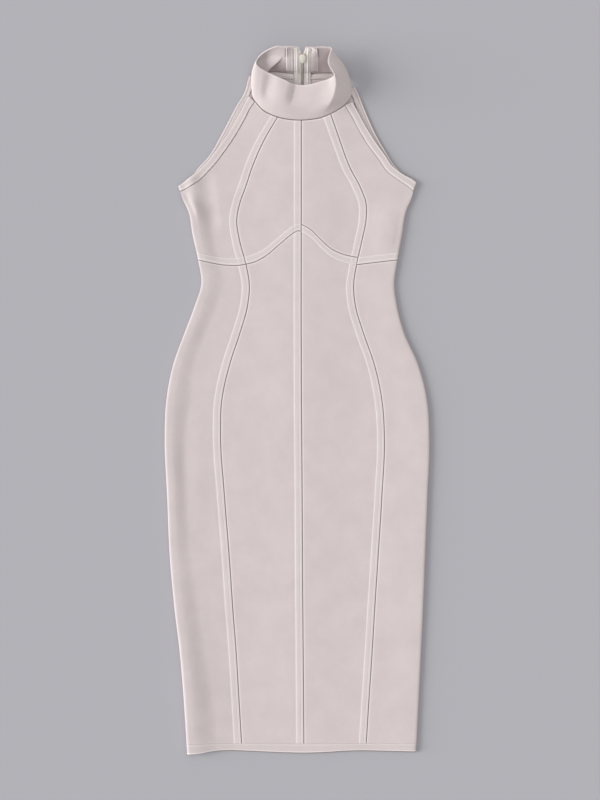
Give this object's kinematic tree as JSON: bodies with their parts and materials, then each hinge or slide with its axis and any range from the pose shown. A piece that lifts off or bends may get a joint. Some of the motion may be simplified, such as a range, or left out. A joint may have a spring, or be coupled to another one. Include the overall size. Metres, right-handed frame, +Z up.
{
  "type": "bodycon dress",
  "caption": "Sleeveless high-necked knit midi dress, laid flat on its back, with a standing collar open at the neck and a centre-back zip.",
  "frame": {"origin": "middle of the dress on the surface that it lies on", "axes": "+Y from the hem towards the collar, +X to the right of somebody who looks down on the front, +Z up, away from the surface"},
  "size_m": [0.4099, 1.0874, 0.0421],
  "materials": {
    "knit": "matt fine knit",
    "zip_tape": "woven tape",
    "zip_coil": "satin coil",
    "zip_metal": "satin enamel"
  },
  "bodies": {
    "dress": {"upper_side_left": "knit", "upper_centre_left": "knit", "upper_centre_right": "knit", "upper_side_right": "knit", "lower_side_left": "knit", "lower_centre_left": "knit", "lower_centre_right": "knit", "lower_side_right": "knit", "back_left": "knit", "back_right": "knit", "armhole_band_front_left": "knit", "armhole_band_front_right": "knit", "armhole_band_back_left": "knit", "armhole_band_back_right": "knit", "hem_front": "knit", "hem_back": "knit", "collar": "knit", "centre_back_facing_left": "knit", "centre_back_facing_right": "knit", "neck_allowance_left": "knit", "neck_allowance_right": "knit", "zip_tape_left": "zip_tape", "zip_tape_right": "zip_tape", "zip_chain": "zip_coil", "zip_slider": "zip_metal"},
    "pull_tab": {"zip_pull_tab": "zip_metal"}
  },
  "joints": [
    {"name": "pull_tab_hinge", "type": "hinge", "parent": "dress", "child": "pull_tab", "pos_m": [0.0084, 0.53163, 0.02121], "axis": [1, 0, 0], "range_deg": [0, 150]}
  ]
}
